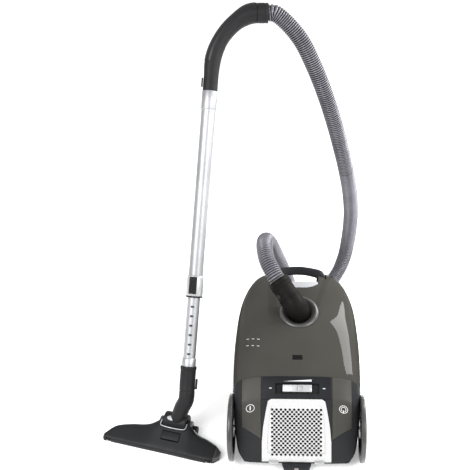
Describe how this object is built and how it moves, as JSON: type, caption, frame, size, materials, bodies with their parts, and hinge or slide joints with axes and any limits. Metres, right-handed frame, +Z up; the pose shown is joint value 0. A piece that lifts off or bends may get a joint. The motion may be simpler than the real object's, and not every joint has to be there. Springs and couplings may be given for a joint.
{
  "type": "bagged cylinder vacuum cleaner",
  "caption": "Bagged cylinder vacuum cleaner with a rounded wheeled body, rear exhaust grille, foot pedals, ribbed hose, telescopic wand and wide floor head.",
  "frame": {"origin": "on the floor, at the middle of the box round everything except the hose", "axes": "+Z up, +Y from the body's exhaust end towards its nose, +X to the body's right seen from behind the exhaust end"},
  "size_m": [0.5944, 0.7125, 0.832],
  "materials": {
    "black_shell": "moulded black plastic, satin to glossy",
    "taupe": "warm dark grey paint, high gloss",
    "panel": "very dark blue-grey gloss panel",
    "silver_trim": "silver paint, satin",
    "light_grey": "light grey plastic",
    "white_grille": "white moulded plastic",
    "window": "smoked dark indicator window",
    "connector": "black rubbery plastic",
    "rubber": "black rubber",
    "wheel": "mid grey plastic, glossy",
    "motor_steel": "plain steel",
    "copper": "copper windings",
    "filter": "white fleece filter",
    "paper": "non-woven bag material",
    "wand_plastic": "dark grey moulded plastic, satin",
    "wand_tube": "anodised aluminium tube",
    "hose": "ribbed grey plastic hose",
    "head_plastic": "dark moulded plastic, satin",
    "bristle": "brush hair"
  },
  "bodies": {
    "canister": {"lower_housing": "black_shell", "rear_cover": "black_shell", "control_panel": "panel", "slider_track": "rubber", "parking_hook": "black_shell", "carry_handle": "black_shell", "bulkhead": "black_shell", "motor_deck": "black_shell", "pre_motor_filter": "filter", "motor_casing": "motor_steel", "exhaust_filter": "filter", "reel_axle": "motor_steel", "power_switch": "black_shell", "bag_holder": "black_shell", "dust_bag": "paper", "inlet_seal": "rubber", "axle_left": "motor_steel", "axle_right": "motor_steel", "cord_outlet": "rubber", "hose_lower": "hose", "head_shell": "head_plastic", "sole_plate": "head_plastic"},
    "grille": {"exhaust_grille": "white_grille"},
    "lid": {"bag_lid": "taupe", "bag_window": "window", "inlet_collar": "black_shell", "hose_elbow": "connector"},
    "latch": {"lid_latch": "light_grey"},
    "button_left": {"elbow_button_left": "connector"},
    "button_right": {"elbow_button_right": "connector"},
    "power_pedal": {"power_pedal": "taupe"},
    "rewind_pedal": {"rewind_pedal": "taupe"},
    "brake": {"reel_brake": "black_shell"},
    "slider": {"power_slider": "silver_trim"},
    "wheel_left": {"wheel_left": "wheel"},
    "wheel_right": {"wheel_right": "wheel"},
    "caster_swivel": {"caster_fork": "black_shell"},
    "caster_wheel": {"caster_wheel": "rubber"},
    "reel": {"cord_reel": "black_shell"},
    "rotor": {"motor_rotor": "copper"},
    "wand_lower": {"wand_neck": "wand_plastic", "neck_collar": "wand_plastic", "parking_clip": "wand_plastic", "lower_tube": "wand_tube", "hose_middle": "hose"},
    "wand_upper": {"upper_tube": "wand_tube", "latch_housing": "silver_trim", "latch_ring": "rubber", "grip": "wand_plastic", "grip_cuff": "wand_plastic", "hose_upper": "hose"},
    "wand_latch": {"latch_button": "rubber"},
    "air_slide": {"air_slide": "wand_plastic"},
    "mode_pedal": {"mode_pedal": "head_plastic"},
    "brush": {"brush_frame": "head_plastic", "brush_strip": "bristle"},
    "head_wheel_left": {"head_wheel_left": "rubber"},
    "head_wheel_right": {"head_wheel_right": "rubber"},
    "head_roller_left": {"head_roller_left": "rubber"},
    "head_roller_right": {"head_roller_right": "rubber"}
  },
  "joints": [
    {"name": "lid_hinge", "type": "hinge", "parent": "canister", "child": "lid", "pos_m": [0.1427, -0.19706, 0.182], "axis": [1, 0, 0], "range_deg": [0, 70], "deforming": ["hose_lower"]},
    {"name": "latch_lift", "type": "hinge", "parent": "lid", "child": "latch", "pos_m": [0.1427, 0.05034, 0.2326], "axis": [1, 0, 0], "range_deg": [0, 12], "stiffness_Nm_per_rad": 0.02, "springref_deg": -5.73},
    {"name": "button_left_press", "type": "slide", "parent": "lid", "child": "button_left", "axis": [0.6941, 0.7198, 0], "range_m": [0, 0.0022], "stiffness_N_per_m": 600, "springref_m": -0.001},
    {"name": "button_right_press", "type": "slide", "parent": "lid", "child": "button_right", "axis": [-0.6941, -0.7198, 0], "range_m": [0, 0.0022], "stiffness_N_per_m": 600, "springref_m": -0.001},
    {"name": "power_press", "type": "hinge", "parent": "canister", "child": "power_pedal", "pos_m": [0.0467, -0.20486, 0.1754], "axis": [1, 0, 0], "range_deg": [0, 3], "stiffness_Nm_per_rad": 4, "springref_deg": -1.72},
    {"name": "rewind_press", "type": "hinge", "parent": "canister", "child": "rewind_pedal", "pos_m": [0.2387, -0.20486, 0.1754], "axis": [1, 0, 0], "range_deg": [0, 3], "stiffness_Nm_per_rad": 4, "springref_deg": -1.72},
    {"name": "brake_release", "type": "hinge", "parent": "canister", "child": "brake", "pos_m": [0.2277, -0.12886, 0.146], "axis": [1, 0, 0], "range_deg": [0, 7]},
    {"name": "power_slide", "type": "slide", "parent": "canister", "child": "slider", "axis": [1, 0, 0], "range_m": [-0.014, 0.014]},
    {"name": "grille_hinge", "type": "hinge", "parent": "canister", "child": "grille", "pos_m": [0.1427, -0.30086, 0.028], "axis": [1, 0, 0], "range_deg": [0, 80]},
    {"name": "wheel_left_roll", "type": "hinge", "parent": "canister", "child": "wheel_left", "pos_m": [0.0007, -0.24186, 0.073], "axis": [1, 0, 0], "continuous": true},
    {"name": "wheel_right_roll", "type": "hinge", "parent": "canister", "child": "wheel_right", "pos_m": [0.2847, -0.24186, 0.073], "axis": [1, 0, 0], "continuous": true},
    {"name": "caster_swivel", "type": "hinge", "parent": "canister", "child": "caster_swivel", "pos_m": [0.1427, 0.04314, 0.046], "axis": [0, 0, 1], "continuous": true},
    {"name": "caster_roll", "type": "hinge", "parent": "caster_swivel", "child": "caster_wheel", "pos_m": [0.1427, 0.05114, 0.02], "axis": [1, 0, 0], "continuous": true},
    {"name": "reel_spin", "type": "hinge", "parent": "canister", "child": "reel", "pos_m": [0.2277, -0.18486, 0.095], "axis": [1, 0, 0], "continuous": true},
    {"name": "rotor_spin", "type": "hinge", "parent": "canister", "child": "rotor", "pos_m": [0.0947, -0.16686, 0.088], "axis": [0, 1, 0], "continuous": true},
    {"name": "wand_tilt", "type": "hinge", "parent": "canister", "child": "wand_lower", "pos_m": [-0.1263, -0.18986, 0.036], "axis": [0.9659, -0.2588, 0], "range_deg": [-10, 20], "deforming": ["hose_middle"]},
    {"name": "telescope", "type": "slide", "parent": "wand_lower", "child": "wand_upper", "axis": [0.0787, 0.5446, 0.835], "range_m": [-0.12, 0.22], "deforming": ["hose_upper"]},
    {"name": "wand_latch_press", "type": "slide", "parent": "wand_upper", "child": "wand_latch", "axis": [-0.065, 0.8386, -0.5408], "range_m": [0, 0.002], "stiffness_N_per_m": 600, "springref_m": -0.001},
    {"name": "air_valve", "type": "slide", "parent": "wand_upper", "child": "air_slide", "axis": [0.0787, 0.5446, 0.835], "range_m": [0, 0.01]},
    {"name": "mode_rock", "type": "hinge", "parent": "canister", "child": "mode_pedal", "pos_m": [-0.13665, -0.2285, 0.029], "axis": [0.9659, -0.2588, 0], "range_deg": [0, 8]},
    {"name": "brush_lift", "type": "slide", "parent": "canister", "child": "brush", "axis": [0, 0, 1], "range_m": [0, 0.004]},
    {"name": "head_wheel_left_roll", "type": "hinge", "parent": "canister", "child": "head_wheel_left", "pos_m": [-0.16461, -0.17442, 0.012], "axis": [0.9659, -0.2588, 0], "continuous": true},
    {"name": "head_wheel_right_roll", "type": "hinge", "parent": "canister", "child": "head_wheel_right", "pos_m": [-0.0854, -0.19564, 0.012], "axis": [0.9659, -0.2588, 0], "continuous": true},
    {"name": "head_roller_left_roll", "type": "hinge", "parent": "canister", "child": "head_roller_left", "pos_m": [-0.2788, -0.21422, 0.006], "axis": [0.9659, -0.2588, 0], "continuous": true},
    {"name": "head_roller_right_roll", "type": "hinge", "parent": "canister", "child": "head_roller_right", "pos_m": [-0.04891, -0.27582, 0.006], "axis": [0.9659, -0.2588, 0], "continuous": true}
  ],
  "couplings": [
    {"joint": "brake_release", "follows": "rewind_press", "ratio": 2},
    {"joint": "mode_rock", "follows": "brush_lift", "rad_per_m": 34}
  ]
}
